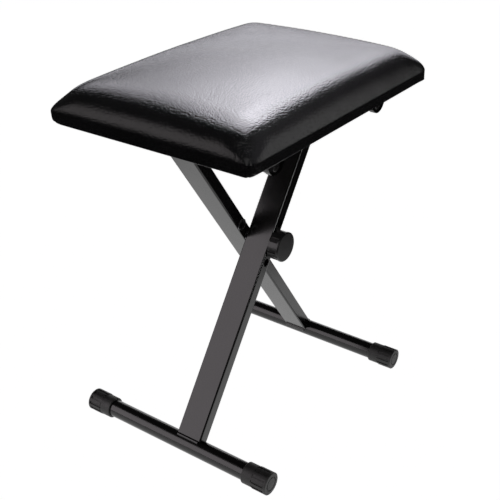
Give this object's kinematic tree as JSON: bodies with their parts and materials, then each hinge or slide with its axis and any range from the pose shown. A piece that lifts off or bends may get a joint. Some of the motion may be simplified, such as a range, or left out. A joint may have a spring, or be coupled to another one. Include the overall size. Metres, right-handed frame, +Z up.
{
  "type": "piano bench",
  "caption": "Folding piano bench: a crowned black leatherette seat on two crossed rectangular-tube legs, with round foot tubes, ribbed rubber caps and a fluted knob that locks the seat height.",
  "frame": {"origin": "on the floor, under the centre of the seat, with the bench at its middle height", "axes": "+X along the seat towards the end where the front leg is hinged, +Y across the seat away from the knob, +Z up"},
  "size_m": [0.3952, 0.296, 0.493],
  "materials": {
    "leatherette": "satin, fine pebbled grain",
    "foam": "open-cell foam",
    "plywood": "raw plywood",
    "lining": "non-woven cloth",
    "black_steel": "satin powder coat",
    "zinc_steel": "zinc plated",
    "cap_rubber": "matt",
    "black_plastic": "fine moulded texture"
  },
  "bodies": {
    "seat": {"seat_cover": "leatherette", "foam_pad": "foam", "seat_board": "plywood", "dust_cover": "lining", "cover_staples": "zinc_steel", "left_front_ear": "black_steel", "left_back_ear": "black_steel", "right_front_ear": "black_steel", "right_back_ear": "black_steel", "ear_screws": "zinc_steel", "tee_nuts": "zinc_steel", "pivot_bushes": "black_plastic"},
    "front_leg": {"front_leg_tube": "black_steel", "front_leg_crossbar": "black_steel", "front_leg_foot_tube": "black_steel", "front_leg_crossbar_plugs": "zinc_steel", "front_leg_pivot_bolts": "zinc_steel", "front_leg_pivot_washers": "zinc_steel", "front_leg_weld_beads": "black_steel", "front_leg_front_foot_cap": "cap_rubber", "front_leg_back_foot_cap": "cap_rubber"},
    "rear_leg": {"rear_leg_tube": "black_steel", "rear_leg_crossbar": "black_steel", "rear_leg_foot_tube": "black_steel", "rear_leg_crossbar_plugs": "zinc_steel", "rear_leg_pivot_bolts": "zinc_steel", "rear_leg_pivot_washers": "zinc_steel", "rear_leg_weld_beads": "black_steel", "rear_leg_front_foot_cap": "cap_rubber", "rear_leg_back_foot_cap": "cap_rubber", "rear_leg_threaded_sleeves": "zinc_steel"},
    "knob_carrier": {"knob_washer": "zinc_steel"},
    "knob": {"knob_grip": "black_plastic", "knob_cap": "black_plastic", "knob_bolt": "zinc_steel"}
  },
  "joints": [
    {"name": "front_leg_fold", "type": "hinge", "parent": "seat", "child": "front_leg", "pos_m": [0.1185, 0, 0.416], "axis": [0, 1, 0], "range_deg": [-4.5, 49]},
    {"name": "rear_leg_fold", "type": "hinge", "parent": "seat", "child": "rear_leg", "pos_m": [-0.1185, 0, 0.416], "axis": [0, 1, 0], "range_deg": [-49, 4.5]},
    {"name": "knob_pull", "type": "slide", "parent": "front_leg", "child": "knob_carrier", "axis": [0, -1, 0], "range_m": [0, 0.042]},
    {"name": "knob_turn", "type": "hinge", "parent": "knob_carrier", "child": "knob", "pos_m": [0, -0.045, 0.24655], "axis": [0, -1, 0], "continuous": true}
  ],
  "couplings": [
    {"joint": "rear_leg_fold", "follows": "front_leg_fold", "ratio": -1}
  ]
}
